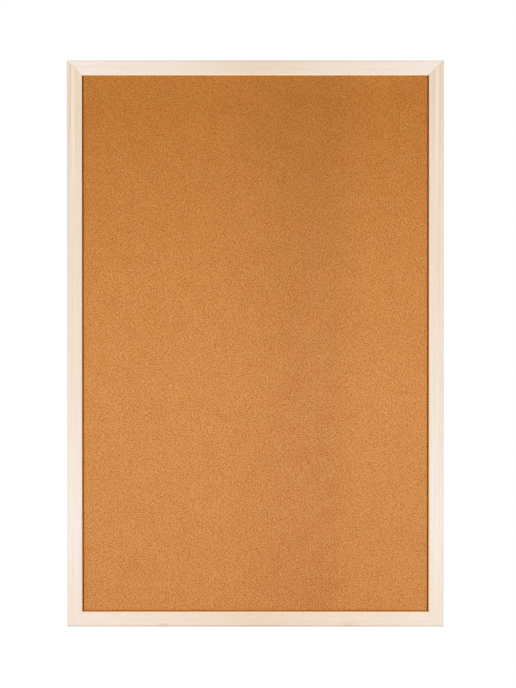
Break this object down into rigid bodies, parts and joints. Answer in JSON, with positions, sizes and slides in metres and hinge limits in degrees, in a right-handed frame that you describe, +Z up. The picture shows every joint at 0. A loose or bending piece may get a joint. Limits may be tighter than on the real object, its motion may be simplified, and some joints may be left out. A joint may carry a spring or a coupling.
{
  "type": "pin board",
  "caption": "Upright cork pin board in a narrow mitred pine frame, with a softboard core, a stapled hardboard back and swinging ring hangers for a wall.",
  "frame": {"origin": "on the wall plane, in the middle of the top rail's back face", "axes": "+X to the right of someone facing the board, +Y into the wall, +Z up; the cork faces -Y"},
  "size_m": [0.399, 0.0206, 0.6],
  "materials": {
    "pine": "pale pine, planed and sealed with a thin satin lacquer",
    "cork": "fine-grained pressed cork, sanded and left bare",
    "softboard": "soft pressed wood fibre, cut edges",
    "hardboard": "brown hardboard, smooth face",
    "nail_steel": "bare rolled steel",
    "staple_wire": "galvanised flat wire",
    "zinc": "bright zinc plating"
  },
  "bodies": {
    "board": {"top_rail": "pine", "bottom_rail": "pine", "left_stile": "pine", "right_stile": "pine", "cork_sheet": "cork", "core_board": "softboard", "back_panel": "hardboard", "v_nail_top_left_outer": "nail_steel", "v_nail_top_left_inner": "nail_steel", "v_nail_top_right_outer": "nail_steel", "v_nail_top_right_inner": "nail_steel", "v_nail_bottom_left_outer": "nail_steel", "v_nail_bottom_left_inner": "nail_steel", "v_nail_bottom_right_outer": "nail_steel", "v_nail_bottom_right_inner": "nail_steel", "staple_top_1": "staple_wire", "staple_top_2": "staple_wire", "staple_top_3": "staple_wire", "staple_bottom_1": "staple_wire", "staple_bottom_2": "staple_wire", "staple_bottom_3": "staple_wire", "staple_left_1": "staple_wire", "staple_left_2": "staple_wire", "staple_left_3": "staple_wire", "staple_left_4": "staple_wire", "staple_right_1": "staple_wire", "staple_right_2": "staple_wire", "staple_right_3": "staple_wire", "staple_right_4": "staple_wire", "left_hanger_strap": "zinc", "left_hanger_screw": "zinc", "right_hanger_strap": "zinc", "right_hanger_screw": "zinc"},
    "left_ring": {"left_hanger_ring": "zinc"},
    "right_ring": {"right_hanger_ring": "zinc"}
  },
  "joints": [
    {"name": "left_ring_swing", "type": "hinge", "parent": "board", "child": "left_ring", "pos_m": [-0.1925, 0.0023, -0.0945], "axis": [1, 0, 0], "range_deg": [0, 185]},
    {"name": "right_ring_swing", "type": "hinge", "parent": "board", "child": "right_ring", "pos_m": [0.1925, 0.0023, -0.0945], "axis": [1, 0, 0], "range_deg": [0, 185]}
  ]
}
